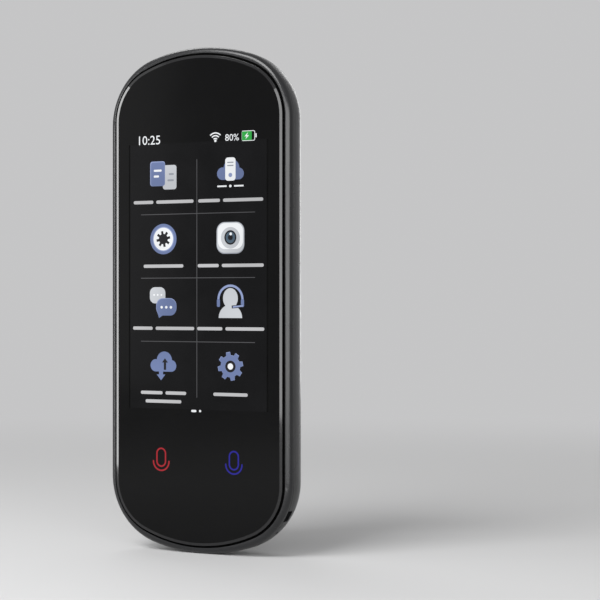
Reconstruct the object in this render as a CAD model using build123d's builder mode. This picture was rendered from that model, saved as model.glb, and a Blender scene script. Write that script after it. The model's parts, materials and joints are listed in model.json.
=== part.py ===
"""Handheld translator: a slim bar with a touch glass in a rounded front frame and a pebble-shaped cover.

Frame: +Z runs up the length, the screen faces -Y, the back cover faces +Y, and +X is to the
right of someone who looks at the screen. The origin is under the middle of the lower end.
"""

from build123d import *
from math import cos, degrees, radians, sin
import os

os.makedirs("parts", exist_ok=True)

# ---------------------------------------------------------------- driving dimensions, in mm
# Body outline, seen from the front: straight sides, a corner arc and a shallow crown at each end
body_half_width = 26.7
body_half_height = 65.0
body_corner_radius = 17.8
body_end_height = 19.2
mid_z = body_half_height

thickness = 14.6
front_y = -thickness / 2
back_y = thickness / 2
back_edge_radius = 11.0
wall = 1.6
cavity_bevel = 6.5

# Glass outline, which keeps an even gap to the rim of the frame
glass_half_width = 24.4
glass_half_height = 62.7
glass_corner_radius = 14.0
glass_end_height = 16.2
glass_thickness = 1.1
glass_edge_bevel = 0.7
glass_gap = 0.75
glass_proud = 0.6

# Depth stations, from the glass towards the back
film_thickness = 0.2
glass_rear_y = front_y + glass_thickness
rim_y = front_y + glass_proud
ledge_y = glass_rear_y + film_thickness
lcd_rear_y = ledge_y + 0.9
backlight_rear_y = lcd_rear_y + 0.7
tray_y = backlight_rear_y + film_thickness
parting_y = -4.9
frame_rear_y = -3.1
board_front_y = -0.7
board_thickness = 0.8
board_rear_y = board_front_y + board_thickness
cover_inner_y = back_y - wall

# Frame and parting line
rim_radius = 1.45
parting_chamfer = 0.15
lip_clearance = 0.15
boss_size = 3.4
pilot_radius = 0.62
pilot_depth = 2.9
hook_length = 5.0
hook_reach = 0.4
hook_clearance = 0.3
hook_heights = (33.0, 60.0, 99.0)

# Display stack behind the glass
display_width = 42.4
display_height = 84.0
display_z = 72.3
display_slack = 0.3
backlight_bottom = 34.5
backlight_height = display_z + display_height / 2 - backlight_bottom
backlight_z = backlight_bottom + backlight_height / 2
sensor_bottom = 17.5
sensor_top = 114.3
key_z = 24.0
key_x = 10.6

# Adhesive loop and gasket under the edge of the glass
adhesive_inset = 0.4
adhesive_opening = (43.2, 106.4)
gasket_clearance = 0.04
gasket_width = 0.26
gasket_depth = 0.35

# Ribbons
flex_thickness = 0.2
display_flex_width = 12.0
display_flex_turn_z = 19.0
touch_flex_width = 5.0
touch_flex_x = 12.0
touch_flex_turn_z = 12.5
ribbon_window_bottom = 17.0

# Boards
board_inset = 3.0
main_board_bottom = 81.0
port_board_top = 18.0
main_screw_places = ((-19.5, 98.0), (12.0, 121.0))
port_screw_places = ((-11.0, 15.8), (11.0, 15.8))
screw_places = main_screw_places + port_screw_places
screw_radius = 0.6
screw_head_radius = 1.3
screw_head_height = 0.6
screw_hole_radius = 0.8
connector_height = 0.8
chip_height = 0.9
shield_sheet = 0.2

# Battery bay
battery_width = 36.0
battery_height = 58.0
battery_z = 50.0
battery_front_y = frame_rear_y + 0.3
battery_thickness = 6.0
battery_rear_y = battery_front_y + battery_thickness
battery_pad_thickness = 0.4
bay_slack = 0.3
bay_wall = 0.8
bay_rear_y = -1.3
rib_thickness = 0.8
rib_y = battery_rear_y + battery_pad_thickness

# Camera, above the speaker
camera_z = 115.5
camera_flange_radius = 3.75
camera_flange_bevel = 0.2
camera_neck_radius = 3.3
camera_barrel_radius = 2.45
camera_body_size = 8.0
camera_body_rear_y = 3.2
camera_seat_depth = 0.9
window_radius = 2.9
window_thickness = 0.5
window_depth = 0.4
window_rear_y = back_y - window_depth - window_thickness
barrel_top_y = window_rear_y - 0.2
lens_radius = 1.3
lens_rise = 0.45
camera_clearance = 0.05

# Speaker holes: two arcs around one centre, which curve down under the camera
hole_radius = 0.68
hole_pitch = 2.36
hole_centre_z = 120.25
hole_rows = ((15.5, 5), (18.6, 7))
speaker_z = 103.6
speaker_width = 18.0
speaker_height = 13.0
speaker_front_y = 1.9
speaker_rear_y = 5.2
speaker_gasket_thickness = 0.3
cone_width = 14.0
cone_height = 9.0
chamber_front_y = 3.4
chamber_wall = 1.0

# Wireless antenna on the inside of the cover
antenna_x = 13.2
antenna_z = 98.0
antenna_width = 3.8
antenna_height = 26.0
antenna_thickness = 0.2

# Power button on the left side
button_z = 85.7
button_length = 7.6
button_width = 2.5
button_y = parting_y + 0.15 + button_width / 2
button_proud = 0.75
button_edge_bevel = 0.3
button_travel = 0.3
button_clearance = 0.15
notch_corner_radius = 1.2
flange_x = -24.5
flange_thickness = 0.6
button_flange_front_y = parting_y + 0.15
button_flange_rear_y = board_front_y - 0.25
nub_length = 0.2
nub_y = -1.8
plunger_length = 0.9
plunger_proud = 0.45
switch_width = 3.6
switch_length = 3.0

# Charging port in the lower end
port_width = 8.94
port_height = 3.26
port_wall = 0.3
port_length = 7.0
port_mouth_z = 1.7
port_y = (board_front_y + board_rear_y) / 2
port_clearance = 0.22
port_tunnel_top = 5.0
port_notch_clearance = 0.15
tongue_width = 6.7
tongue_thickness = 0.7

# Lanyard slot and microphone hole on the lower right corner, by the direction they face
lanyard_angle = 28.7
lanyard_length = 3.1
lanyard_width = 2.45
lanyard_post_radius = 0.5
lanyard_post_inset = 2.3
lanyard_post_seat = 1.2
lanyard_post_foot = 0.5
lanyard_clearance_radius = 3.6
microphone_angle = 46.2
microphone_y = -3.6
microphone_hole_radius = 0.5
boot_length = 2.3
boot_width = 2.8
boot_front_y = microphone_y - 0.7
boot_rear_y = board_front_y - 0.2
boot_bore_radius = 0.35


# ---------------------------------------------------------------- outlines and planes
def at_depth(y):
    """The upright plane at depth y, with X to the right, Z up and its normal towards the front."""
    return Plane.XZ.offset(-y)


def rounded_bar(half_width, half_height, corner_radius, end_height):
    """Outline of tangent arcs: a corner arc from each straight side into the crown of each end."""
    crown_radius = half_width**2 + end_height**2 - 2 * half_width * corner_radius
    crown_radius /= 2 * (end_height - corner_radius)
    side = half_height - end_height
    run_x = half_width - corner_radius
    run_y = side - (half_height - crown_radius)
    scale = crown_radius / (run_x**2 + run_y**2) ** 0.5
    joint = (run_x * scale, half_height - crown_radius + run_y * scale)
    with BuildSketch() as outline:
        with BuildLine():
            Line((half_width, 0), (half_width, side))
            RadiusArc((half_width, side), joint, -corner_radius)
            RadiusArc(joint, (0, half_height), -crown_radius)
            mirror(about=Plane.YZ)
            mirror(about=Plane.XZ)
        make_face()
    return Pos(0, mid_z) * outline.sketch


def body_outline(inset=0.0):
    return rounded_bar(
        body_half_width - inset,
        body_half_height - inset,
        body_corner_radius - inset,
        body_end_height - inset,
    )


def glass_outline(outset=0.0):
    return rounded_bar(
        glass_half_width + outset,
        glass_half_height + outset,
        glass_corner_radius + outset,
        glass_end_height + outset,
    )


def corner_plane(angle, y, inset=0.0):
    """Plane on the lower right corner arc, facing out: local x runs back, local y along the edge."""
    reach = body_corner_radius - inset
    centre_x = body_half_width - body_corner_radius
    x = centre_x + reach * cos(radians(angle))
    z = body_end_height - reach * sin(radians(angle))
    facing = (cos(radians(angle)), 0, -sin(radians(angle)))
    return Plane(origin=(x, y, z), x_dir=(0, 1, 0), z_dir=facing)


post_plane = corner_plane(lanyard_angle, parting_y, inset=lanyard_post_inset)
post_place = (post_plane.origin.X, post_plane.origin.Z)

# ---------------------------------------------------------------- glass and display stack
with BuildPart() as front_glass:
    with BuildSketch(at_depth(glass_rear_y)):
        add(glass_outline())
    extrude(amount=glass_thickness)
    chamfer(front_glass.faces().sort_by(Axis.Y)[0].edges(), length=glass_edge_bevel)

with BuildPart() as touch_sensor:
    with BuildSketch(at_depth(ledge_y)):
        with Locations((0, (sensor_bottom + sensor_top) / 2)):
            Rectangle(display_width, sensor_top - sensor_bottom)
    extrude(amount=film_thickness)

with BuildPart() as glass_adhesive:
    with BuildSketch(at_depth(ledge_y)):
        add(glass_outline(-adhesive_inset))
        with Locations((0, mid_z)):
            Rectangle(*adhesive_opening, mode=Mode.SUBTRACT)
    extrude(amount=film_thickness)

with BuildPart() as screen_gasket:
    with BuildSketch(at_depth(ledge_y)):
        add(glass_outline(gasket_clearance + gasket_width))
        add(glass_outline(gasket_clearance), mode=Mode.SUBTRACT)
    extrude(amount=gasket_depth)

with BuildPart() as lcd_cell:
    with BuildSketch(at_depth(lcd_rear_y)):
        with Locations((0, display_z)):
            Rectangle(display_width, display_height)
    extrude(amount=lcd_rear_y - ledge_y)

with BuildPart() as backlight:
    with BuildSketch(at_depth(backlight_rear_y)):
        with Locations((0, backlight_z)):
            Rectangle(display_width, backlight_height)
    extrude(amount=backlight_rear_y - lcd_rear_y)

with BuildPart() as display_foam:
    foam_border = 3.0
    with BuildSketch(at_depth(tray_y)):
        with Locations((0, backlight_z)):
            Rectangle(display_width - 1, backlight_height - 1)
            Rectangle(
                display_width - 2 * foam_border, backlight_height - 2 * foam_border, mode=Mode.SUBTRACT
            )
    extrude(amount=tray_y - backlight_rear_y)

# Both ribbons end on connectors on the front face of the port board
ribbon_rear_y = board_front_y - connector_height - flex_thickness / 2
with BuildPart() as display_flex:
    display_flex_front_y = lcd_rear_y + flex_thickness / 2
    with BuildSketch(Plane.YZ.offset(-display_flex_width / 2)):
        with BuildLine():
            FilletPolyline(
                (display_flex_front_y, 33.8),
                (display_flex_front_y, display_flex_turn_z),
                (ribbon_rear_y, display_flex_turn_z),
                (ribbon_rear_y, 11.5),
                radius=1.2,
            )
        trace(line_width=flex_thickness)
    extrude(amount=display_flex_width)

with BuildPart() as touch_flex:
    touch_flex_front_y = ledge_y - flex_thickness / 2
    with BuildSketch(Plane.YZ.offset(touch_flex_x - touch_flex_width / 2)):
        with BuildLine():
            Polyline(
                (touch_flex_front_y, sensor_bottom - 0.05),
                (touch_flex_front_y, touch_flex_turn_z),
                (ribbon_rear_y, touch_flex_turn_z),
                (ribbon_rear_y, 6.0),
            )
        trace(line_width=flex_thickness)
    extrude(amount=touch_flex_width)

with BuildPart() as key_leds:
    led_height = 0.6
    with BuildSketch(at_depth(ledge_y + led_height)):
        with Locations((-key_x, key_z), (key_x, key_z)):
            Rectangle(1.6, 0.8)
    extrude(amount=led_height)

# ---------------------------------------------------------------- front frame
with BuildPart() as front_frame:
    # Rim that shows around the glass
    with BuildSketch(at_depth(parting_y)):
        add(body_outline())
    extrude(amount=parting_y - rim_y)
    fillet(front_frame.faces().sort_by(Axis.Y)[0].edges(), radius=rim_radius)
    chamfer(front_frame.faces().sort_by(Axis.Y)[-1].edges(), length=parting_chamfer)
    # Tongue that the cover slips over
    with BuildSketch(at_depth(frame_rear_y)):
        add(body_outline(wall + lip_clearance))
    extrude(amount=frame_rear_y - parting_y)
    # Seat of the glass and pocket of the display
    with BuildSketch(at_depth(ledge_y)):
        add(glass_outline(glass_gap))
    extrude(amount=ledge_y - rim_y, mode=Mode.SUBTRACT)
    with BuildSketch(at_depth(tray_y)):
        with Locations((0, display_z)):
            Rectangle(display_width + 2 * display_slack, display_height + 2 * display_slack)
    extrude(amount=tray_y - ledge_y, mode=Mode.SUBTRACT)
    # Pockets of the two key lights
    led_pocket_depth = led_height + 0.1
    with BuildSketch(at_depth(ledge_y + led_pocket_depth)):
        with Locations((-key_x, key_z), (key_x, key_z)):
            Rectangle(2.0, 1.2)
    extrude(amount=led_pocket_depth, mode=Mode.SUBTRACT)
    # Channel and window for the display ribbon, and the slot for the touch ribbon
    channel_top = display_z - display_height / 2
    with BuildSketch(at_depth(tray_y)):
        with Locations((0, (ribbon_window_bottom + channel_top) / 2)):
            Rectangle(display_flex_width + 2, channel_top - ribbon_window_bottom)
    extrude(amount=tray_y - ledge_y, mode=Mode.SUBTRACT)
    with BuildSketch(at_depth(frame_rear_y)):
        with Locations((0, ribbon_window_bottom + 1.3)):
            Rectangle(display_flex_width + 2, 2.6)
    extrude(amount=frame_rear_y - tray_y, mode=Mode.SUBTRACT)
    with BuildSketch(at_depth(frame_rear_y)):
        with Locations((touch_flex_x, touch_flex_turn_z)):
            Rectangle(touch_flex_width + 1, 1.4)
    extrude(amount=frame_rear_y - ledge_y, mode=Mode.SUBTRACT)
    # Battery bay, screw bosses and stiffening ribs on the rear face
    bay_width = battery_width + 2 * bay_slack
    bay_height = battery_height + 2 * bay_slack
    with BuildSketch(at_depth(bay_rear_y)):
        with Locations((0, battery_z)):
            Rectangle(bay_width + 2 * bay_wall, bay_height + 2 * bay_wall)
            Rectangle(bay_width, bay_height, mode=Mode.SUBTRACT)
    extrude(amount=bay_rear_y - frame_rear_y)
    with BuildSketch(at_depth(board_front_y)):
        with Locations(screw_places):
            Rectangle(boss_size, boss_size)
    extrude(amount=board_front_y - frame_rear_y)
    with BuildSketch(at_depth(board_front_y)):
        with Locations(screw_places):
            Circle(pilot_radius)
    extrude(amount=pilot_depth, mode=Mode.SUBTRACT)
    with BuildSketch(at_depth(frame_rear_y + rib_thickness)):
        with Locations((0, 106)):
            Rectangle(30, rib_thickness)
            Rectangle(rib_thickness, 22)
    extrude(amount=rib_thickness)
    # Snap hooks on both straight sides
    for side in (-1, 1):
        lip_x = side * (body_half_width - wall - lip_clearance)
        hook_x = lip_x + side * hook_reach
        for z in hook_heights:
            with BuildSketch(Plane.XY.offset(z - hook_length / 2)):
                with BuildLine():
                    Polyline(
                        (lip_x, frame_rear_y),
                        (hook_x, frame_rear_y - 0.3),
                        (hook_x, frame_rear_y - 0.5),
                        (lip_x, frame_rear_y - 0.5),
                        close=True,
                    )
                make_face()
            extrude(amount=hook_length)
    # Room for the button's flange, the lanyard loop, the microphone boot and the lanyard post
    with BuildSketch(Plane.XY.offset(button_z - 5.0)):
        with Locations((-(body_half_width - wall), parting_y + 1.8)):
            Rectangle(3.6, 3.6)
    extrude(amount=10.0, mode=Mode.SUBTRACT)
    with BuildSketch(corner_plane(lanyard_angle, parting_y + 1.0, inset=wall)):
        Rectangle(2.0, lanyard_length + 0.6)
    extrude(amount=-3.0, mode=Mode.SUBTRACT)
    with BuildSketch(corner_plane(microphone_angle, parting_y + 1.0, inset=wall)):
        Rectangle(2.0, boot_width + 0.6)
    extrude(amount=-3.0, mode=Mode.SUBTRACT)
    with BuildSketch(at_depth(parting_y)):
        with Locations(post_place):
            Circle(lanyard_post_radius)
    extrude(amount=lanyard_post_foot + 0.05, mode=Mode.SUBTRACT)

# ---------------------------------------------------------------- rear cover
# Hollow of the cover: flat inside, with a wide bevel that follows the round back edge
with BuildPart() as cavity:
    with BuildSketch(at_depth(cover_inner_y)):
        add(body_outline(wall))
    extrude(amount=cover_inner_y - parting_y)
    chamfer(cavity.faces().sort_by(Axis.Y)[-1].edges(), length=cavity_bevel)

# What stands on the inside of the cover, rooted in its wall
with BuildPart() as cover_ribs:
    root_y = cover_inner_y + 0.2
    # Ribs that press the battery into its bay
    with BuildSketch(at_depth(root_y)):
        with Locations((0, battery_z)):
            with GridLocations(18.0, 0, 2, 1):
                Rectangle(rib_thickness, 50.0)
            with GridLocations(0, 16.0, 1, 3):
                Rectangle(38.0, rib_thickness)
    extrude(amount=root_y - rib_y)
    # Chamber that the speaker sits in
    chamber_width = speaker_width + 0.4
    chamber_height = speaker_height + 0.4
    with BuildSketch(at_depth(root_y)):
        with Locations((0, speaker_z)):
            Rectangle(chamber_width + 2 * chamber_wall, chamber_height + 2 * chamber_wall)
            Rectangle(chamber_width, chamber_height, mode=Mode.SUBTRACT)
    extrude(amount=root_y - chamber_front_y)
    # Block that holds the rear end of the lanyard post
    with BuildSketch(corner_plane(lanyard_angle, parting_y + lanyard_width + 1.3, inset=4.2)):
        Rectangle(2.6, lanyard_length + 1.8)
    extrude(amount=3.0)

with BuildPart() as rear_cover:
    with BuildSketch(at_depth(back_y)):
        add(body_outline())
    extrude(amount=back_y - parting_y)
    fillet(rear_cover.faces().sort_by(Axis.Y)[-1].edges(), radius=back_edge_radius)
    chamfer(rear_cover.faces().sort_by(Axis.Y)[0].edges(), length=parting_chamfer)
    add(cavity.part, mode=Mode.SUBTRACT)
    add(cover_ribs.part)
    # Stepped hole for the camera ring
    with Locations(Plane(origin=(0, back_y, camera_z), x_dir=(-1, 0, 0), z_dir=(0, 1, 0))):
        CounterBoreHole(
            radius=camera_neck_radius + camera_clearance,
            counter_bore_radius=camera_flange_radius + camera_clearance,
            counter_bore_depth=camera_seat_depth,
            depth=2 * wall,
        )
    # Speaker holes on two arcs
    with Locations(Plane(origin=(0, back_y, hole_centre_z), x_dir=(-1, 0, 0), z_dir=(0, 1, 0))):
        for radius, count in hole_rows:
            span = degrees(hole_pitch / radius) * (count - 1)
            first_hole = -90 - span / 2
            with PolarLocations(radius, count, start_angle=first_hole, angular_range=span, endpoint=True):
                Hole(hole_radius, depth=1.4 * wall)
    # Notch of the power button, open at the parting plane
    notch_back = button_y + button_width / 2 + button_clearance
    notch_front = parting_y - 2 * notch_corner_radius
    with BuildSketch(Plane.YZ.offset(-body_half_width - 1)):
        with Locations(((notch_back + notch_front) / 2, button_z)):
            RectangleRounded(
                notch_back - notch_front, button_length + 2 * button_clearance, notch_corner_radius
            )
    extrude(amount=1 + 2 * wall, mode=Mode.SUBTRACT)
    # Recesses of the snap hooks
    for side in (-1, 1):
        for z in hook_heights:
            with BuildSketch(Plane.XY.offset(z - hook_length / 2 - hook_clearance)):
                with Locations((side * (body_half_width - wall), frame_rear_y - 0.35)):
                    Rectangle(1.0, 1.0)
            extrude(amount=hook_length + 2 * hook_clearance, mode=Mode.SUBTRACT)
    # Tunnel of the charging port
    with BuildSketch(Plane.XY.offset(-1)):
        with Locations((0, port_y)):
            SlotOverall(port_width + 2 * port_clearance, port_height + 2 * port_clearance)
    extrude(amount=1 + port_tunnel_top, mode=Mode.SUBTRACT)
    # Lanyard slot, open at the parting plane, with the bore of its post behind
    with BuildSketch(corner_plane(lanyard_angle, parting_y + lanyard_width / 2 - 0.5, inset=-1)):
        RectangleRounded(lanyard_width + 1.0, lanyard_length, 0.5)
    extrude(amount=-5.0, mode=Mode.SUBTRACT)
    with BuildSketch(at_depth(parting_y + lanyard_width + lanyard_post_seat)):
        with Locations(post_place):
            Circle(lanyard_post_radius + 0.03)
    extrude(amount=3.0, mode=Mode.SUBTRACT)
    # Microphone hole
    with BuildSketch(corner_plane(microphone_angle, microphone_y, inset=-1)):
        Circle(microphone_hole_radius)
    extrude(amount=-3.5, mode=Mode.SUBTRACT)

with BuildPart() as lanyard_post:
    post_rear_y = parting_y + lanyard_width + lanyard_post_seat - 0.1
    with BuildSketch(at_depth(post_rear_y)):
        with Locations(post_place):
            Circle(lanyard_post_radius)
    extrude(amount=post_rear_y - parting_y + lanyard_post_foot)

# ---------------------------------------------------------------- power button and its switch
nub_end_x = flange_x + flange_thickness + nub_length
with BuildPart() as power_button:
    with BuildSketch(Plane.YZ.offset(-body_half_width - button_proud)):
        with Locations((button_y, button_z)):
            SlotOverall(button_length, button_width, rotation=90)
    extrude(amount=body_half_width + button_proud + flange_x)
    chamfer(power_button.faces().sort_by(Axis.X)[0].edges(), length=button_edge_bevel)
    with BuildSketch(Plane.YZ.offset(flange_x)):
        with Locations(((button_flange_front_y + button_flange_rear_y) / 2, button_z)):
            Rectangle(button_flange_rear_y - button_flange_front_y, button_length + 1.8)
    extrude(amount=flange_thickness)
    with BuildSketch(Plane.YZ.offset(flange_x)):
        with Locations((nub_y, button_z)):
            Rectangle(1.4, 2.0)
    extrude(amount=flange_thickness + nub_length)

with BuildPart() as switch_plunger:
    with BuildSketch(Plane.YZ.offset(nub_end_x)):
        with Locations((nub_y, button_z)):
            Rectangle(1.2, 1.8)
    extrude(amount=plunger_length)

switch_x = nub_end_x + plunger_proud
with BuildPart() as power_switch:
    switch_front_y = frame_rear_y + 0.15
    with BuildSketch(Plane.YZ.offset(switch_x)):
        with Locations(((board_front_y + switch_front_y) / 2, button_z)):
            Rectangle(board_front_y - switch_front_y, switch_width)
    extrude(amount=switch_length)
    chamfer(power_switch.edges().filter_by(Axis.X), length=0.2)
    with BuildSketch(Plane.YZ.offset(switch_x)):
        with Locations((nub_y, button_z)):
            Rectangle(1.5, 2.1)
    extrude(amount=plunger_length - plunger_proud + button_travel + 0.1, mode=Mode.SUBTRACT)

# ---------------------------------------------------------------- boards and what they carry
with BuildPart() as main_board:
    with BuildSketch(at_depth(board_rear_y)):
        add(body_outline(board_inset))
        with Locations((0, main_board_bottom - body_half_height)):
            Rectangle(2 * body_half_width, 2 * body_half_height, mode=Mode.SUBTRACT)
        with Locations(main_screw_places):
            Circle(screw_hole_radius, mode=Mode.SUBTRACT)
    extrude(amount=board_thickness)

with BuildPart() as port_board:
    with BuildSketch(at_depth(board_rear_y)):
        add(body_outline(board_inset))
        with Locations((0, port_board_top + body_half_height)):
            Rectangle(2 * body_half_width, 2 * body_half_height, mode=Mode.SUBTRACT)
        with Locations(port_screw_places):
            Circle(screw_hole_radius, mode=Mode.SUBTRACT)
        with Locations(post_place):
            Circle(lanyard_clearance_radius, mode=Mode.SUBTRACT)
        # Notch that the charging port sits in
        notch_top = port_mouth_z + port_length + port_notch_clearance
        with Locations((0, notch_top / 2)):
            Rectangle(port_width + 2 * port_notch_clearance, notch_top, mode=Mode.SUBTRACT)
    extrude(amount=board_thickness)


def shield_can(width, height, rise, x, z):
    """Drawn sheet-metal can with bevelled edges, open towards the board."""
    with BuildPart() as can:
        with BuildSketch(at_depth(board_rear_y + rise)):
            with Locations((x, z)):
                Rectangle(width, height)
        extrude(amount=rise)
        chamfer(can.faces().sort_by(Axis.Y)[-1].edges(), length=shield_sheet)
        with BuildSketch(at_depth(board_rear_y + rise - shield_sheet)):
            with Locations((x, z)):
                Rectangle(width - 2 * shield_sheet, height - 2 * shield_sheet)
        extrude(amount=rise - shield_sheet, mode=Mode.SUBTRACT)
    return can


processor_shield = shield_can(20.0, 13.4, 1.6, -4.0, 89.2)
radio_shield = shield_can(10.0, 11.0, 1.4, 13.6, 90.2)

with BuildPart() as board_chips:
    with BuildSketch(at_depth(board_rear_y + chip_height)):
        with Locations((-6, 87.5)):
            Rectangle(11, 8)
        with Locations((3, 91.5)):
            Rectangle(3.5, 6)
        with Locations((12.6, 91.5)):
            Rectangle(5, 5)
        with Locations((-13, 103), (14.5, 106)):
            Rectangle(4, 4)
        with Locations((-8, 120.5), (7.8, 119.5)):
            Rectangle(2.5, 3.2)
    extrude(amount=chip_height)

# The long ribbon joins both boards on one side, and the battery's tab plugs in on the other
link_x = 20.8
link_width = 3.0
link_low_z = 16.6
link_high_z = 85.0
battery_tab_x = -17.0
battery_tab_z = 83.2
with BuildPart() as board_connectors:
    with BuildSketch(at_depth(board_rear_y + connector_height)):
        with Locations((link_x, link_low_z), (link_x, link_high_z)):
            Rectangle(link_width, 2.4)
        with Locations((battery_tab_x, battery_tab_z)):
            Rectangle(5.0, 2.0)
    extrude(amount=connector_height)
    with BuildSketch(at_depth(board_front_y)):
        with Locations((0, 13.0)):
            Rectangle(display_flex_width, 3.0)
        with Locations((touch_flex_x, 7.5)):
            Rectangle(touch_flex_width, 3.0)
    extrude(amount=connector_height)

# Each screw has its head on the rear face of the board and its shank in a boss of the frame
with BuildPart() as board_screws:
    with BuildSketch(at_depth(board_rear_y + screw_head_height)):
        with Locations(screw_places):
            Circle(screw_head_radius)
    extrude(amount=screw_head_height)
    with BuildSketch(at_depth(board_rear_y)):
        with Locations(screw_places):
            Circle(screw_radius)
    extrude(amount=board_thickness + pilot_depth - 0.3)

with BuildPart() as main_flex:
    with BuildSketch(at_depth(board_rear_y + connector_height + flex_thickness)):
        with Locations((link_x, (link_low_z + link_high_z) / 2)):
            Rectangle(link_width - 0.4, link_high_z - link_low_z + 2.0)
    extrude(amount=flex_thickness)

# ---------------------------------------------------------------- battery
with BuildPart() as battery:
    with BuildSketch(at_depth(battery_rear_y)):
        with Locations((0, battery_z)):
            Rectangle(battery_width, battery_height)
    extrude(amount=battery_thickness)
    fillet(battery.edges().filter_by(Axis.Z), radius=1.4)

with BuildPart() as battery_adhesive:
    with BuildSketch(at_depth(battery_front_y)):
        with Locations((0, battery_z)):
            with GridLocations(20.0, 0, 2, 1):
                Rectangle(10, 50)
    extrude(amount=battery_front_y - frame_rear_y)

with BuildPart() as battery_foam:
    with BuildSketch(at_depth(battery_rear_y + battery_pad_thickness)):
        with Locations((0, battery_z)):
            Rectangle(30, 52)
    extrude(amount=battery_pad_thickness)

with BuildPart() as battery_flex:
    battery_top = battery_z + battery_height / 2
    tab_end = battery_tab_z + 1.1
    with BuildSketch(at_depth(board_rear_y + connector_height + flex_thickness)):
        with Locations((battery_tab_x, (battery_top + tab_end) / 2)):
            Rectangle(4.6, tab_end - battery_top - 0.1)
    extrude(amount=flex_thickness)

# ---------------------------------------------------------------- charging port
with BuildPart() as usb_c_shell:
    with BuildSketch(Plane.XY.offset(port_mouth_z)):
        with Locations((0, port_y)):
            SlotOverall(port_width, port_height)
    extrude(amount=port_length)
    with BuildSketch(Plane.XY.offset(port_mouth_z)):
        with Locations((0, port_y)):
            SlotOverall(port_width - 2 * port_wall, port_height - 2 * port_wall)
    extrude(amount=port_length - 1.0, mode=Mode.SUBTRACT)

with BuildPart() as usb_c_tongue:
    with BuildSketch(Plane.XY.offset(port_mouth_z + 0.7)):
        with Locations((0, port_y)):
            Rectangle(tongue_width, tongue_thickness)
    extrude(amount=port_length - 1.7)

# ---------------------------------------------------------------- microphone
sound_exit_y = board_front_y - 0.5
with BuildPart() as microphone_boot:
    boot_middle_y = (boot_front_y + boot_rear_y) / 2
    with BuildSketch(corner_plane(microphone_angle, boot_middle_y, inset=wall + 0.1)):
        Rectangle(boot_rear_y - boot_front_y, boot_width)
    extrude(amount=-boot_length)
    with BuildSketch(corner_plane(microphone_angle, microphone_y, inset=wall)):
        Circle(boot_bore_radius)
    extrude(amount=-boot_length - 1, mode=Mode.SUBTRACT)
    # Groove in the inner end, from the bore back to the microphone
    groove_middle_y = (microphone_y + sound_exit_y) / 2
    with BuildSketch(corner_plane(microphone_angle, groove_middle_y, inset=wall + boot_length - 0.4)):
        Rectangle(sound_exit_y - microphone_y, 2 * boot_bore_radius)
    extrude(amount=-1.0, mode=Mode.SUBTRACT)

with BuildPart() as microphone:
    behind_boot = wall + boot_length + 0.15
    with BuildSketch(corner_plane(microphone_angle, sound_exit_y, inset=behind_boot)):
        Rectangle(1.0, 3.0)
    extrude(amount=-3.5)

# ---------------------------------------------------------------- speaker and antenna
with BuildPart() as speaker:
    with BuildSketch(at_depth(speaker_rear_y)):
        with Locations((0, speaker_z)):
            Rectangle(speaker_width, speaker_height)
    extrude(amount=speaker_rear_y - speaker_front_y)
    with BuildSketch(at_depth(speaker_rear_y)):
        with Locations((0, speaker_z)):
            SlotOverall(cone_width, cone_height)
    extrude(amount=0.5, mode=Mode.SUBTRACT)

with BuildPart() as speaker_gasket:
    with BuildSketch(at_depth(speaker_rear_y + speaker_gasket_thickness)):
        with Locations((0, speaker_z)):
            Rectangle(speaker_width, speaker_height)
            Rectangle(cone_width + 1, cone_height + 1, mode=Mode.SUBTRACT)
    extrude(amount=speaker_gasket_thickness)

with BuildPart() as speaker_mesh:
    with BuildSketch(at_depth(cover_inner_y)):
        with Locations((0, speaker_z)):
            Rectangle(speaker_width - 1, speaker_height - 1)
    extrude(amount=cover_inner_y - speaker_rear_y - speaker_gasket_thickness)

with BuildPart() as wifi_antenna:
    with BuildSketch(at_depth(cover_inner_y)):
        with Locations((antenna_x, antenna_z)):
            Rectangle(antenna_width, antenna_height)
    extrude(amount=antenna_thickness)

with BuildPart() as antenna_spring:
    spring_sheet = 0.18
    spring_foot_y = board_rear_y + spring_sheet / 2
    spring_tip_y = cover_inner_y - antenna_thickness - spring_sheet / 2
    with BuildSketch(Plane.YZ.offset(antenna_x - 0.8)):
        with BuildLine():
            Polyline(
                (spring_foot_y, antenna_z - 0.8),
                (spring_foot_y, antenna_z + 2.6),
                (spring_tip_y - 0.6, antenna_z - 0.4),
                (spring_tip_y - 0.15, antenna_z + 1.6),
            )
        trace(line_width=spring_sheet)
    extrude(amount=1.6)

# ---------------------------------------------------------------- camera
camera_axis = Axis((0, 0, camera_z), (0, 1, 0))
with BuildPart() as camera_ring:
    flange_front_y = back_y - camera_seat_depth + camera_clearance
    neck_front_y = cover_inner_y - 0.4
    bezel_radius = 3.2
    bore_radius = camera_barrel_radius + 0.1
    pocket_radius = window_radius + 0.03
    with BuildSketch(Plane.YZ):
        with BuildLine():
            Polyline(
                (back_y, camera_z + bezel_radius),
                (back_y, camera_z + camera_flange_radius - camera_flange_bevel),
                (back_y - camera_flange_bevel, camera_z + camera_flange_radius),
                (flange_front_y, camera_z + camera_flange_radius),
                (flange_front_y, camera_z + camera_neck_radius),
                (neck_front_y, camera_z + camera_neck_radius),
                (neck_front_y, camera_z + bore_radius),
                (window_rear_y, camera_z + bore_radius),
                (window_rear_y, camera_z + pocket_radius),
                (window_rear_y + window_thickness, camera_z + pocket_radius),
                close=True,
            )
        make_face()
    revolve(axis=camera_axis)

with BuildPart() as camera_window:
    with BuildSketch(at_depth(window_rear_y + window_thickness)):
        with Locations((0, camera_z)):
            Circle(window_radius)
    extrude(amount=window_thickness)

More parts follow.
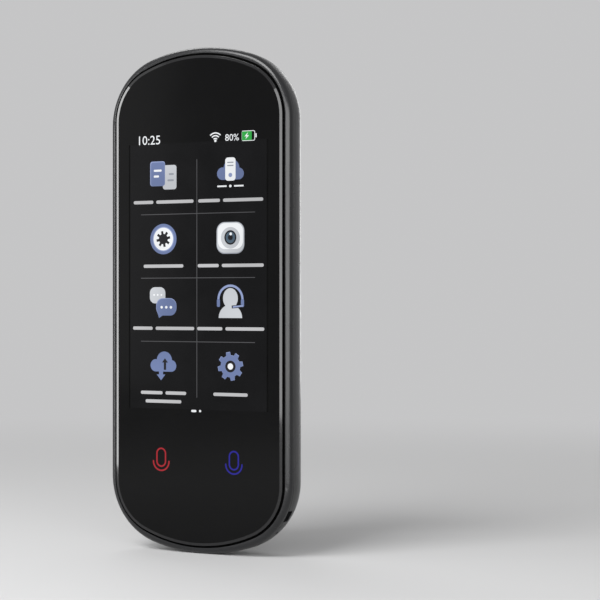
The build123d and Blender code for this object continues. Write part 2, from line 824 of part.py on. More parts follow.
with BuildPart() as camera_module:
    with BuildSketch(at_depth(camera_body_rear_y)):
        with Locations((0, camera_z)):
            Rectangle(camera_body_size, camera_body_size)
    extrude(amount=camera_body_rear_y - board_rear_y)
    with BuildSketch(at_depth(barrel_top_y)):
        with Locations((0, camera_z)):
            Circle(camera_barrel_radius)
    extrude(amount=barrel_top_y - camera_body_rear_y)
    # Conical well in front of the lens
    with BuildSketch(Plane.YZ):
        with BuildLine():
            Polyline(
                (barrel_top_y, camera_z),
                (barrel_top_y, camera_z + 1.9),
                (barrel_top_y - 0.7, camera_z + lens_radius + 0.05),
                (barrel_top_y - 1.2, camera_z + lens_radius + 0.05),
                (barrel_top_y - 1.2, camera_z),
                close=True,
            )
        make_face()
    revolve(axis=camera_axis, mode=Mode.SUBTRACT)

with BuildPart() as camera_lens:
    dome_radius = (lens_radius**2 + lens_rise**2) / (2 * lens_rise)
    with BuildSketch(at_depth(barrel_top_y)):
        with Locations((0, camera_z)):
            Circle(lens_radius)
    extrude(amount=1.2)
    with Locations((0, barrel_top_y - 0.45 - dome_radius, camera_z)):
        Sphere(dome_radius, mode=Mode.INTERSECT)

with BuildPart() as camera_foam:
    foam_rear_y = 4.85
    with BuildSketch(at_depth(foam_rear_y)):
        with Locations((0, camera_z)):
            Rectangle(camera_body_size - 0.6, camera_body_size - 0.6)
            Circle(camera_barrel_radius + 0.15, mode=Mode.SUBTRACT)
    extrude(amount=foam_rear_y - camera_body_rear_y)

# ---------------------------------------------------------------- one STEP file per piece
pieces = {
    "front_glass": front_glass,
    "touch_sensor": touch_sensor,
    "glass_adhesive": glass_adhesive,
    "screen_gasket": screen_gasket,
    "lcd_cell": lcd_cell,
    "backlight": backlight,
    "display_foam": display_foam,
    "display_flex": display_flex,
    "touch_flex": touch_flex,
    "key_leds": key_leds,
    "front_frame": front_frame,
    "rear_cover": rear_cover,
    "lanyard_post": lanyard_post,
    "power_button": power_button,
    "switch_plunger": switch_plunger,
    "power_switch": power_switch,
    "main_board": main_board,
    "port_board": port_board,
    "processor_shield": processor_shield,
    "radio_shield": radio_shield,
    "board_chips": board_chips,
    "board_connectors": board_connectors,
    "board_screws": board_screws,
    "main_flex": main_flex,
    "battery": battery,
    "battery_adhesive": battery_adhesive,
    "battery_foam": battery_foam,
    "battery_flex": battery_flex,
    "usb_c_shell": usb_c_shell,
    "usb_c_tongue": usb_c_tongue,
    "microphone": microphone,
    "microphone_boot": microphone_boot,
    "speaker": speaker,
    "speaker_gasket": speaker_gasket,
    "speaker_mesh": speaker_mesh,
    "wifi_antenna": wifi_antenna,
    "antenna_spring": antenna_spring,
    "camera_ring": camera_ring,
    "camera_window": camera_window,
    "camera_module": camera_module,
    "camera_lens": camera_lens,
    "camera_foam": camera_foam,
}
for name, piece in pieces.items():
    piece.part.label = name
    export_step(piece.part, f"parts/{name}.step")
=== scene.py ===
"""Handheld translator: the finish of every surface, the cover glass with its lit screen, and a plain studio.

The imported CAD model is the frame: metres, +Z up the length, the screen faces -Y, the camera side +Y.
"""

import json
from math import cos, pi, radians, sin

import bmesh
import bpy
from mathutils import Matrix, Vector


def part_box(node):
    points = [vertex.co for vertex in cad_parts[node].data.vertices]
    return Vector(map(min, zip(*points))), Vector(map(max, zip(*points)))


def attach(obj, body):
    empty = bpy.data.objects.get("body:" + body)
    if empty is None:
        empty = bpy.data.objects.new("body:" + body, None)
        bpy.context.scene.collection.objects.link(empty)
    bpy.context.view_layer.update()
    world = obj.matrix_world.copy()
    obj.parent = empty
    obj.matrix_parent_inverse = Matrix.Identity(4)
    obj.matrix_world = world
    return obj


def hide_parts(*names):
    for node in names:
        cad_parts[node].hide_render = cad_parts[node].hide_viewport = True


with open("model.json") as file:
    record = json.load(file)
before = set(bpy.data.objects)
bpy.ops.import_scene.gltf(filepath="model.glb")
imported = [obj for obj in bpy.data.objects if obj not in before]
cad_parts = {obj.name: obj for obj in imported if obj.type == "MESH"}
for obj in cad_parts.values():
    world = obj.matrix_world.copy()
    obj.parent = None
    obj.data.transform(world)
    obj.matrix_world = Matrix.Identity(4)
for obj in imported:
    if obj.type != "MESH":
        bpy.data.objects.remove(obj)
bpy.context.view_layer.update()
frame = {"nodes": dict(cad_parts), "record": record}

MM = 0.001
nodes = frame["nodes"]


# ---------------------------------------------------------------- small helpers
def add_node(tree, kind, inputs=None, **settings):
    """A shader node; an input takes a value or another node's output."""
    made = tree.nodes.new(kind)
    for key, value in settings.items():
        setattr(made, key, value)
    for key, value in (inputs or {}).items():
        if isinstance(value, bpy.types.NodeSocket):
            tree.links.new(value, made.inputs[key])
        else:
            made.inputs[key].default_value = value
    return made


def new_material(name):
    """A node material with one Principled shader on its output."""
    material = bpy.data.materials.new(name)
    material.use_nodes = True
    tree = material.node_tree
    tree.nodes.clear()
    shader = add_node(tree, "ShaderNodeBsdfPrincipled")
    add_node(tree, "ShaderNodeOutputMaterial", {"Surface": shader.outputs["BSDF"]})
    return material, tree, shader


def object_coordinates(tree, stretch=(1, 1, 1)):
    """Place on the object in metres, so a pattern stays on its piece in every view."""
    place = add_node(tree, "ShaderNodeTexCoord")
    return add_node(
        tree, "ShaderNodeMapping", {"Vector": place.outputs["Object"], "Scale": stretch}
    ).outputs["Vector"]


def noise(tree, vector, size, detail=3.0):
    """Noise whose features are about `size` metres across."""
    return add_node(
        tree, "ShaderNodeTexNoise", {"Vector": vector, "Scale": 1 / size, "Detail": detail}
    ).outputs["Fac"]


def ramp(tree, value, low, high, start=0.3, end=0.7):
    """Maps a texture value to the range from low to high."""
    return add_node(
        tree,
        "ShaderNodeMapRange",
        {"Value": value, "From Min": start, "From Max": end, "To Min": low, "To Max": high},
        interpolation_type="SMOOTHSTEP",
    ).outputs["Result"]


def mixed(tree, factor, dark, light):
    """A colour between two, by a texture value."""
    blend = add_node(tree, "ShaderNodeMix", data_type="RGBA")
    for socket, value in ((0, factor), (6, dark), (7, light)):
        if isinstance(value, bpy.types.NodeSocket):
            tree.links.new(value, blend.inputs[socket])
        else:
            blend.inputs[socket].default_value = value
    return blend.outputs[2]


def shade(colour, factor):
    """The colour made lighter or darker, with an alpha of 1."""
    return tuple(min(1.0, part * factor) for part in colour) + (1.0,)


def surface(
    name,
    colour,
    roughness,
    grain=0.3 * MM,
    relief=0.004 * MM,
    patch=9 * MM,
    tint=0.12,
    rough_spread=0.05,
    stretch=(1, 1, 1),
    **sockets,
):
    """Moulded, coated or drawn stock: fine grain, broad colour drift, handled and clean patches."""
    material, tree, shader = new_material(name)
    place = object_coordinates(tree, stretch)
    fine = noise(tree, place, grain)
    broad = noise(tree, place, patch, 2.0)
    both = add_node(tree, "ShaderNodeMath", {0: fine, 1: broad}, operation="ADD").outputs[0]
    drift = ramp(tree, both, 0, 1, 0.6, 1.4)
    colours = mixed(tree, drift, shade(colour, 1 - tint), shade(colour, 1 + tint))
    tree.links.new(colours, shader.inputs["Base Color"])
    rough = ramp(tree, broad, roughness - rough_spread, roughness + rough_spread, 0.2, 0.8)
    tree.links.new(rough, shader.inputs["Roughness"])
    if relief:
        bump = add_node(tree, "ShaderNodeBump", {"Height": fine, "Strength": 1.0, "Distance": relief})
        tree.links.new(bump.outputs["Normal"], shader.inputs["Normal"])
    for key, value in sockets.items():
        shader.inputs[key.replace("_", " ").title().replace("Ior", "IOR")].default_value = value
    return material


# ---------------------------------------------------------------- materials
def housing_material():
    """Dark satin moulding with a very fine spark texture."""
    return surface(
        "satin_housing",
        (0.0088, 0.009, 0.0098),
        0.26,
        grain=0.22 * MM,
        relief=0.001 * MM,
        patch=14 * MM,
        tint=0.16,
        rough_spread=0.04,
        specular_ior_level=0.45,
    )


def button_material():
    return surface(
        "satin_button", (0.011, 0.0113, 0.0122), 0.24, relief=0.0015 * MM, specular_ior_level=0.5
    )


def glass_material():
    """Face of the cover glass: black print behind it, faint finger marks on it."""
    return surface(
        "black_backed_glass",
        (0.0008, 0.0008, 0.0009),
        0.1,
        grain=2 * MM,
        relief=0.0,
        patch=16 * MM,
        tint=0.2,
        rough_spread=0.02,
        specular_ior_level=0.17,
    )


def glass_edge_material():
    """Ground and polished edge of the glass, brighter than its face."""
    return surface(
        "polished_glass_edge",
        (0.006, 0.006, 0.0065),
        0.06,
        grain=0.15 * MM,
        relief=0.0,
        tint=0.15,
        rough_spread=0.02,
        specular_ior_level=0.55,
    )


def rubber_material(name, value):
    colour = (value, value, value)
    return surface(name, colour, 0.8, grain=0.18 * MM, relief=0.01 * MM, specular_ior_level=0.02)


def metal_material(name, colour, roughness, stretch=(1, 1, 1), grain=0.12 * MM):
    return surface(
        name,
        colour,
        roughness,
        grain=grain,
        relief=0.002 * MM,
        tint=0.08,
        stretch=stretch,
        metallic=1.0,
    )


def plastic_material(name, colour, roughness=0.45, **sockets):
    return surface(name, colour, roughness, grain=0.2 * MM, relief=0.004 * MM, **sockets)


def foam_material():
    """Open cells, with painted shade that darkens their hollows."""
    material, tree, shader = new_material("open_cell_foam")
    place = object_coordinates(tree)
    cell_size = 0.25 * MM
    cells = add_node(tree, "ShaderNodeTexVoronoi", {"Vector": place, "Scale": 1 / cell_size})
    depth = cells.outputs["Distance"]
    # Painted shade: the colour is darker where the bump is lower.
    painted_hollow_shade = ramp(tree, depth, 0, 1, 0.1, 0.6)
    colours = mixed(tree, painted_hollow_shade, (0.05, 0.05, 0.05, 1), (0.012, 0.012, 0.012, 1))
    tree.links.new(colours, shader.inputs["Base Color"])
    bump = add_node(tree, "ShaderNodeBump", {"Height": depth, "Distance": 0.05 * MM}, invert=True)
    tree.links.new(bump.outputs["Normal"], shader.inputs["Normal"])
    shader.inputs["Roughness"].default_value = 0.9
    return material


def weave_material():
    """Dust mesh: two crossed sets of fine threads."""
    material, tree, shader = new_material("woven_dust_mesh")
    place = object_coordinates(tree)
    wave_period = 2.4 * MM
    waves = [
        add_node(
            tree,
            "ShaderNodeTexWave",
            {"Vector": place, "Scale": 1 / wave_period},
            bands_direction=axis,
        ).outputs["Fac"]
        for axis in ("X", "Z")
    ]
    crossed = add_node(
        tree, "ShaderNodeMath", {0: waves[0], 1: waves[1]}, operation="MAXIMUM"
    ).outputs[0]
    colours = mixed(tree, crossed, (0.003, 0.003, 0.003, 1), (0.022, 0.022, 0.022, 1))
    tree.links.new(colours, shader.inputs["Base Color"])
    bump = add_node(tree, "ShaderNodeBump", {"Height": crossed, "Distance": 0.02 * MM})
    tree.links.new(bump.outputs["Normal"], shader.inputs["Normal"])
    shader.inputs["Roughness"].default_value = 0.8
    return material


def board_material():
    """Green solder mask with the faint relief of copper tracks under it."""
    material, tree, shader = new_material("solder_mask")
    place = object_coordinates(tree)
    track_pitch = 9 * MM
    tracks = add_node(
        tree,
        "ShaderNodeTexBrick",
        {
            "Vector": place,
            "Scale": 1 / track_pitch,
            "Mortar Size": 0.012,
            "Color1": (0.008, 0.075, 0.04, 1),
            "Color2": (0.01, 0.085, 0.048, 1),
            "Mortar": (0.02, 0.13, 0.07, 1),
        },
    )
    tree.links.new(tracks.outputs["Color"], shader.inputs["Base Color"])
    bump = add_node(tree, "ShaderNodeBump", {"Height": tracks.outputs["Fac"], "Distance": 0.03 * MM})
    tree.links.new(bump.outputs["Normal"], shader.inputs["Normal"])
    rough = ramp(tree, noise(tree, place, 3 * MM), 0.28, 0.42)
    tree.links.new(rough, shader.inputs["Roughness"])
    return material


def window_material():
    """Clear cover of the camera, with a trace of haze."""
    return surface(
        "camera_window_glass",
        (0.93, 0.94, 0.97),
        0.012,
        grain=3 * MM,
        relief=0.0,
        tint=0.02,
        rough_spread=0.008,
        transmission_weight=1.0,
        ior=1.12,
    )


# Painted reflection: a violet flare painted into the lens and bowl colour, fixed on the part.
flare_side = 8
flare_full, flare_end = 14, 34
# The first two stops are a painted glint in the lens's middle; the rest are the coating's navy rings.
painted_glint_and_ring_stops = (
    (0.0, (0.95, 0.95, 1, 1)),
    (0.17, (0.7, 0.68, 0.95, 1)),
    (0.22, (0.001, 0.001, 0.008, 1)),
    (0.45, (0.003, 0.0025, 0.03, 1)),
    (0.75, (0.004, 0.003, 0.04, 1)),
    (1.0, (0.002, 0.002, 0.008, 1)),
)


def lens_material(name, centre, edge, violet):
    """Coated optics about the lens axis: a pale middle in navy rings that is a painted glint, and a violet
    flare on one side that is a painted reflection.

    `edge` is the radius at which the rings end. The flare points `flare_side` degrees from straight up,
    clockwise for someone behind the part. It is full within `flare_full` degrees of that, and fades
    out at `flare_end`."""
    material, tree, shader = new_material(name)
    place = object_coordinates(tree)
    from_axis = add_node(
        tree, "ShaderNodeVectorMath", {0: place, 1: tuple(centre)}, operation="SUBTRACT"
    ).outputs["Vector"]
    flat = add_node(
        tree, "ShaderNodeVectorMath", {0: from_axis, 1: (-1, 0, 1)}, operation="MULTIPLY"
    ).outputs["Vector"]
    reach = add_node(tree, "ShaderNodeVectorMath", {0: flat}, operation="LENGTH").outputs["Value"]
    rings = add_node(tree, "ShaderNodeValToRGB", {"Fac": ramp(tree, reach, 0, 1, 0, edge)})
    stops = rings.color_ramp.elements
    stops[0].color = painted_glint_and_ring_stops[0][1]
    stops[1].color = painted_glint_and_ring_stops[-1][1]
    for reach_part, tone in painted_glint_and_ring_stops[1:-1]:
        stops.new(reach_part).color = tone
    parts = add_node(tree, "ShaderNodeSeparateXYZ", {"Vector": flat})
    turn = add_node(
        tree, "ShaderNodeMath", {0: parts.outputs["X"], 1: parts.outputs["Z"]}, operation="ARCTAN2"
    ).outputs[0]
    off_side = add_node(
        tree, "ShaderNodeMath", {0: turn, 1: radians(flare_side)}, operation="SUBTRACT"
    ).outputs[0]
    off_side = add_node(tree, "ShaderNodeMath", {0: off_side}, operation="ABSOLUTE").outputs[0]
    # Painted reflection: the violet flare is mixed into the base colour over the rings.
    flare = ramp(tree, off_side, 1, 0, radians(flare_full), radians(flare_end))
    colours = mixed(tree, flare, rings.outputs["Color"], violet)
    tree.links.new(colours, shader.inputs["Base Color"])
    rough = ramp(tree, noise(tree, place, 1 * MM), 0.03, 0.08)
    tree.links.new(rough, shader.inputs["Roughness"])
    shader.inputs["Metallic"].default_value = 1.0
    return material


def lit_material(name, colour, spread=0.18):
    """A lit part of the screen or a lit key: its light drifts a little over the panel."""
    material, tree, shader = new_material(name)
    place = object_coordinates(tree)
    drift = ramp(tree, noise(tree, place, 22 * MM, 1.0), 0, 1)
    colours = mixed(tree, drift, shade(colour, 1 - spread), shade(colour, 1 + spread))
    tree.links.new(colours, shader.inputs["Emission Color"])
    shader.inputs["Emission Strength"].default_value = 1.0
    shader.inputs["Base Color"].default_value = (0.005, 0.005, 0.006, 1)
    shader.inputs["Specular IOR Level"].default_value = 0.25
    rough = ramp(tree, noise(tree, place, 16 * MM, 2.0), 0.04, 0.08)
    tree.links.new(rough, shader.inputs["Roughness"])
    return material


lens_centre = (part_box("camera_lens")[0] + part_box("camera_lens")[1]) / 2
lens_edge = 1.3 * MM
bowl_edge = 2.4 * MM
slot_materials = {
    "cover_glass": glass_material(),
    "clear_film": plastic_material("touch_film", (0.05, 0.05, 0.055), 0.2),
    # Adhesive and gasket rubber are near black: partly their own dark colour, partly painted shade in the
    # gap round the glass.
    "adhesive": rubber_material("adhesive_tape", 0.0015),
    "dark_rubber": rubber_material("gasket_rubber", 0.001),
    "display": surface("display_cell", (0.02, 0.02, 0.03), 0.08, grain=0.1 * MM, relief=0.0),
    "white_film": plastic_material("reflector_film", (0.8, 0.8, 0.8), 0.4, patch=20 * MM),
    "dark_foam": foam_material(),
    "flex": surface("polyimide_film", (0.35, 0.16, 0.04), 0.35, stretch=(1, 1, 0.2), tint=0.25),
    "led": surface("led_resin", (0.85, 0.85, 0.75), 0.15),
    "housing": housing_material(),
    "steel": metal_material("plated_steel", (0.6, 0.6, 0.6), 0.28, stretch=(1, 1, 0.15)),
    "button": button_material(),
    "white_plastic": plastic_material("plunger_plastic", (0.8, 0.8, 0.78)),
    "switch_body": plastic_material("switch_plastic", (0.08, 0.08, 0.08)),
    "board": board_material(),
    "shield": metal_material("tinned_shield", (0.62, 0.62, 0.6), 0.34),
    "chip": plastic_material("moulded_chip", (0.03, 0.03, 0.03), 0.55),
    "connector": plastic_material("connector_plastic", (0.05, 0.05, 0.05), 0.5),
    "battery_wrap": surface("foil_wrap", (0.35, 0.35, 0.36), 0.3, grain=1.5 * MM, relief=0.03 * MM),
    "speaker_body": plastic_material("speaker_plastic", (0.04, 0.04, 0.04)),
    "mesh": weave_material(),
    "gold": metal_material("gold_plating", (0.85, 0.65, 0.3), 0.22),
    "camera_trim": surface(
        "black_trim", (0.0008, 0.0008, 0.001), 0.2, relief=0.001 * MM, specular_ior_level=0.03
    ),
    "lens_glass": window_material(),
    "camera_body": plastic_material("camera_barrel", (0.012, 0.012, 0.013), 0.4),
    "lens_coating": lens_material("coated_lens_painted_glint_flare", lens_centre, lens_edge, (0.11, 0.1, 0.4, 1)),
}

for part in frame["record"]["subparts"]:
    node = nodes[part["node"]]
    node.data.materials.clear()
    node.data.materials.append(slot_materials[part["material_slot"]])


# ---------------------------------------------------------------- flat outlines, in mm: (x, z) pairs
def rounded_bar(half_width, half_height, corner_radius, end_height, middle, steps=14):
    """Corner arcs from straight sides into a shallow crown at each end, counter-clockwise."""
    crown = half_width**2 + end_height**2 - 2 * half_width * corner_radius
    crown /= 2 * (end_height - corner_radius)
    run_x = half_width - corner_radius
    run_z = crown - end_height
    crown_start = pi / 2 if run_x == 0 else Vector((run_x, run_z)).angle_signed(Vector((1, 0)))
    quarter = []
    for step in range(steps + 1):
        angle = crown_start * step / steps
        quarter.append(
            (
                run_x + corner_radius * cos(angle),
                half_height - end_height + corner_radius * sin(angle),
            )
        )
    for step in range(1, steps + 1):
        angle = crown_start + (pi / 2 - crown_start) * step / steps
        quarter.append((crown * cos(angle), half_height - crown + crown * sin(angle)))
    upper = quarter + [(-x, z) for x, z in reversed(quarter[:-1])]
    lower = [(-x, -z) for x, z in upper]
    return [(x, z + middle) for x, z in upper + lower]


def disc(x, z, radius, steps=40, start=0.0, turn=2 * pi):
    """A circle, or an arc of it with both its ends, counter-clockwise; angles in radians."""
    count = steps if turn >= 2 * pi else steps + 1
    return [
        (x + radius * cos(start + turn * i / steps), z + radius * sin(start + turn * i / steps))
        for i in range(count)
    ]


def box_shape(x, z, width, height, radius=0.0, steps=6):
    """A rectangle about its centre, with rounded corners if a radius is given."""
    if not radius:
        half_w, half_h = width / 2, height / 2
        corners = ((-half_w, -half_h), (half_w, -half_h), (half_w, half_h), (-half_w, half_h))
        return [(x + across, z + up) for across, up in corners]
    points = []
    for quarter, (side_x, side_z) in enumerate(((1, 1), (-1, 1), (-1, -1), (1, -1))):
        centre_x = x + side_x * (width / 2 - radius)
        centre_z = z + side_z * (height / 2 - radius)
        points += disc(centre_x, centre_z, radius, steps, quarter * pi / 2, pi / 2)
    return points


def bar(start, end, width):
    """A straight stroke between two points."""
    run = Vector(end) - Vector(start)
    side = Vector((-run.y, run.x)).normalized() * width / 2
    a, b = Vector(start), Vector(end)
    return [tuple(a - side), tuple(b - side), tuple(b + side), tuple(a + side)]


def arc_band(x, z, radius, width, start, turn, steps=24):
    """A stroke along an arc; angles in degrees, counter-clockwise from +X."""
    outer = disc(x, z, radius + width / 2, steps, radians(start), radians(turn))
    inner = disc(x, z, radius - width / 2, steps, radians(start), radians(turn))
    return outer + inner[::-1]


# ---------------------------------------------------------------- placing pieces
def place_data(name, data, materials, slot_name, *replaced):
    """Gives a mesh its materials and makes it a piece on the body, which stands for `replaced` nodes."""
    for material in materials:
        data.materials.append(material)
    piece = bpy.data.objects.new(name, data)
    bpy.context.scene.collection.objects.link(piece)
    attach(piece, "body")
    if replaced:
        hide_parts(*replaced)


def place_piece(name, mesh, materials, slot_name, *replaced):
    """Turns a finished bmesh into a piece."""
    data = bpy.data.meshes.new(name)
    mesh.to_mesh(data)
    mesh.free()
    place_data(name, data, materials, slot_name, *replaced)


layer_step = 0.005


def plate(name, shapes, front, rear, slot_name):
    """One piece of flat shapes that stand on depth `rear`, each `layer_step` prouder than the last.

    A shape is (outline, material) or (outline, hole, material), with as many points in the hole."""
    mesh = bmesh.new()
    materials = []
    assert front - layer_step * len(shapes) > glass_low.y, name
    for layer, shape in enumerate(shapes):
        material = shape[-1]
        if material not in materials:
            materials.append(material)
        index = materials.index(material)
        top_y = (front - layer_step * layer) * MM
        rims = []
        for loop in shape[:-1]:
            top = [mesh.verts.new((x * MM, top_y, z * MM)) for x, z in loop]
            low = [mesh.verts.new((x * MM, rear * MM, z * MM)) for x, z in loop]
            rims.append(top)
            for i in range(len(loop)):
                j = (i + 1) % len(loop)
                mesh.faces.new((top[j], top[i], low[i], low[j])).material_index = index
        if len(rims) == 1:
            mesh.faces.new(rims[0]).material_index = index
        else:
            outer, inner = rims
            for i in range(len(outer)):
                j = (i + 1) % len(outer)
                mesh.faces.new((outer[i], outer[j], inner[j], inner[i])).material_index = index
    bmesh.ops.recalc_face_normals(mesh, faces=mesh.faces)
    place_piece(name, mesh, materials, slot_name)


# ---------------------------------------------------------------- cover glass and the seal round it
glass_low, glass_high = (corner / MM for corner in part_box("front_glass"))
glass_half_width = glass_high.x
glass_half_height = (glass_high.z - glass_low.z) / 2
glass_middle = (glass_high.z + glass_low.z) / 2
glass_corner_radius = 14.0
glass_end_height = 16.2
edge_reach = 0.17
edge_bevel_width = 0.7
edge_bevel_depth = 0.1
edge_round = 0.06
face_margin = 0.3
face_sink = 0.075
glass_face = glass_low.y + face_sink
glass_rear = glass_high.y
seal_clearance = 0.02
seal_reach = 0.73
seal_wall = 0.1


def glass_loop(inset):
    """The CAD glass's outline, moved inwards by `inset` mm."""
    return rounded_bar(
        glass_half_width - inset,
        glass_half_height - inset,
        glass_corner_radius - inset,
        glass_end_height - inset,
        glass_middle,
    )


def edge_loops(rings, edge_steps=0):
    """Glass outlines, each (inset, depth), joined in order; the first steps take the second material."""
    mesh = bmesh.new()
    made = [
        [mesh.verts.new((x * MM, depth * MM, z * MM)) for x, z in glass_loop(inset)]
        for inset, depth in rings
    ]
    count = len(made[0])
    for step, (lower, upper) in enumerate(zip(made, made[1:])):
        for i in range(count):
            j = (i + 1) % count
            side = mesh.faces.new((lower[i], lower[j], upper[j], upper[i]))
            side.smooth = True
            side.material_index = 1 if step < edge_steps else 0
    return mesh, made


def cover_glass():
    """The glass as rings: rear edge, side wall, a small round, the shallow polished bevel, the flat face."""
    round_steps = 4
    bevel_foot = glass_face + edge_bevel_depth
    rings = [(-edge_reach, glass_rear), (-edge_reach, bevel_foot + edge_round)]
    for step in range(1, round_steps + 1):
        angle = pi / 2 * step / round_steps
        rings.append(
            (edge_round * (1 - cos(angle)) - edge_reach, bevel_foot + edge_round * (1 - sin(angle)))
        )
    rings.append((edge_bevel_width - edge_reach, glass_face))
    rings.append((edge_bevel_width - edge_reach + face_margin, glass_face))
    mesh, made = edge_loops(rings, round_steps + 2)
    mesh.faces.new(made[-1])
    mesh.faces.new(made[0][::-1])
    for face in mesh.faces:
        face.smooth = False
    materials = (slot_materials["cover_glass"], glass_edge_material())
    place_piece("cover_glass", mesh, materials, "cover_glass", "front_glass")


def seal_bead_painted_gap_shade():
    """Black seal that fills the floor of the gap around the glass, with a rounded top: a real seal, made to
    fill the whole floor near black as painted shade in the gap.
    """
    top, foot = (corner.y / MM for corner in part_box("screen_gasket"))
    inner, outer = -edge_reach - seal_clearance, -seal_reach
    bead_steps = 8
    rings = [(inner, foot)]
    for step in range(bead_steps + 1):
        angle = pi * step / bead_steps
        across = (inner + outer) / 2 + (inner - outer) / 2 * cos(angle)
        rings.append((across, foot - seal_wall - (foot - top - seal_wall) * sin(angle)))
    rings.append((outer, foot))
    rings.append(rings[0])
    mesh, made = edge_loops(rings)
    bmesh.ops.remove_doubles(mesh, verts=mesh.verts, dist=0.0001 * MM)
    bmesh.ops.recalc_face_normals(mesh, faces=mesh.faces)
    place_piece("seal_bead_painted_gap_shade", mesh, (slot_materials["dark_rubber"],), "dark_rubber", "screen_gasket")


cover_glass()
seal_bead_painted_gap_shade()

# ---------------------------------------------------------------- screen content: common pictograms
# An icon's numbers are mm from its middle, and its shapes lie over each other in the order given.
panel_face = glass_face - 0.004
icon_face = glass_face - 0.012
digit_relief = 0.008
digit_y = icon_face + 0.01

blue = lit_material("lit_blue", (0.138, 0.185, 0.355))
pale_blue = lit_material("lit_pale_blue", (0.27, 0.33, 0.55))
grey = lit_material("lit_grey", (0.53, 0.55, 0.58))
mid_grey = lit_material("lit_mid_grey", (0.3, 0.32, 0.36))
white = lit_material("lit_white", (0.86, 0.88, 0.9), spread=0.08)
label_grey = lit_material("lit_label", (0.5, 0.5, 0.51), spread=0.1)
divider_grey = lit_material("lit_divider", (0.075, 0.075, 0.078))
green = lit_material("lit_green", (0.02, 0.36, 0.05))
red = lit_material("lit_red", (0.4, 0.006, 0.014))
key_blue = lit_material("lit_key_blue", (0.005, 0.003, 0.25))
slate = lit_material("lit_slate", (0.06, 0.1, 0.14))
dark = lit_material("unlit_dark", (0.002, 0.002, 0.003))
ground = surface(
    "unlit_panel", (0.0016, 0.0016, 0.0019), 0.12, grain=2 * MM, relief=0.0, specular_ior_level=0.18
)
border = surface(
    "panel_border", (0.001, 0.001, 0.001), 0.3, grain=1 * MM, relief=0.0, specular_ior_level=0.05
)

column_x = (-10.1, 9.8)
row_z = (97.35, 80.9, 64.65, 48.25)
label_z = (90.5, 73.9, 57.8, 41.1)
second_label_z = 38.9
panel_z, panel_width, panel_height = 71.3, 40.9, 68.6
border_x, border_width = 20.44, 0.42
divider_width = 0.18
divider_rows = (87.3, 70.8, 54.4)
key_mark_x = (-10.75, 10.8)
key_mark_z = 23.8


def oval(x, z, half_width, half_height, steps=40):
    return [(x + px * half_width, z + pz * half_height) for px, pz in disc(0, 0, 1.0, steps)]


def tooth_ring(x, z, root, tip, count):
    """Outline of a wheel with `count` teeth, counter-clockwise."""
    points = []
    pitch = 2 * pi / count
    for i in range(count):
        for radius, share in ((root, -0.32), (tip, -0.2), (tip, 0.2), (root, 0.32)):
            angle = pitch * (i + 0.25 + share)
            points.append((x + radius * cos(angle), z + radius * sin(angle)))
    return points


def cloud(x, z, material):
    """Three puffs on a flat base."""
    return [
        (disc(x - 2.3, z - 0.4, 1.6, 28), material),
        (disc(x + 0.3, z + 0.9, 2.3, 32), material),
        (disc(x + 2.4, z - 0.5, 1.5, 28), material),
        (box_shape(x, z - 1.2, 5.2, 1.6, 0.5, 4), material),
    ]


def cards_icon(x, z):
    """Two overlapping cards with plain lines on them."""
    return [
        (box_shape(x + 1.9, z - 0.5, 4.1, 6.3, 0.7), grey),
        (box_shape(x - 1.75, z + 0.5, 4.5, 6.4, 0.7), pale_blue),
        (box_shape(x - 1.65, z + 0.4, 4.2, 6.1, 0.6), blue),
        (box_shape(x - 1.7, z + 1.3, 2.4, 0.55, 0.25, 4), white),
        (box_shape(x - 2.1, z - 0.2, 1.6, 0.55, 0.25, 4), white),
        (box_shape(x + 2.4, z + 0.3, 1.5, 0.5, 0.22, 4), mid_grey),
        (box_shape(x + 2.2, z - 1.3, 1.9, 0.5, 0.22, 4), mid_grey),
    ]


def cloud_icon(x, z):
    """A cloud behind a plain slab, over a broken line."""
    return cloud(x, z + 0.3, blue) + [
        (box_shape(x, z + 1.0, 3.0, 5.9, 0.8), white),
        (box_shape(x, z + 2.7, 1.8, 0.3), mid_grey),
        (box_shape(x, z + 1.9, 1.8, 0.3), mid_grey),
        (disc(x, z - 0.5, 0.55, 20), pale_blue),
        (bar((x - 3.8, z - 3.3), (x - 1.1, z - 3.3), 0.4), white),
        (bar((x + 1.1, z - 3.3), (x + 3.8, z - 3.3), 0.4), white),
        (disc(x, z - 3.3, 0.35, 16), white),
    ]


def reel_icon(x, z):
    """A tape reel."""
    return [
        (disc(x, z, 3.95, 48), blue),
        (disc(x, z, 3.2, 44), pale_blue),
        (disc(x, z, 2.95, 44), white),
        (tooth_ring(x, z, 1.35, 2.1, 8), dark),
    ]


def camera_icon(x, z):
    """A rounded block with a lens."""
    return [
        (box_shape(x, z, 8.1, 8.1, 2.3), mid_grey),
        (box_shape(x, z + 0.08, 7.9, 7.7, 2.2), grey),
        (box_shape(x, z + 0.45, 7.3, 6.6, 2.0), white),
        (disc(x, z, 2.75, 40), grey),
        (oval(x, z + 0.1, 1.75, 1.85), dark),
        (oval(x, z + 0.1, 1.35, 1.45), slate),
        (disc(x, z + 0.1, 0.7, 24), dark),
        (disc(x + 0.1, z + 1.0, 0.38, 16), white),
    ]


def bubble_icon(x, z):
    """Two speech bubbles with three dots each."""
    shapes = [
        (box_shape(x - 1.75, z + 1.7, 4.7, 4.2, 1.5), grey),
        ([(x - 1.6, z + 0.2), (x + 0.3, z - 1.2), (x + 0.2, z + 0.6)], grey),
        ([(x - 1.9, z - 2.6), (x - 1.3, z - 4.2), (x + 0.3, z - 3.2)], blue),
        (box_shape(x + 0.9, z - 1.3, 6.1, 4.5, 1.9), pale_blue),
        (box_shape(x + 0.95, z - 1.4, 5.9, 4.3, 1.8), blue),
    ]
    shapes += [(disc(x - 2.8 + 1.1 * i, z + 1.8, 0.26, 14), white) for i in range(3)]
    shapes += [(disc(x - 0.5 + 1.4 * i, z - 1.4, 0.36, 14), white) for i in range(3)]
    return shapes


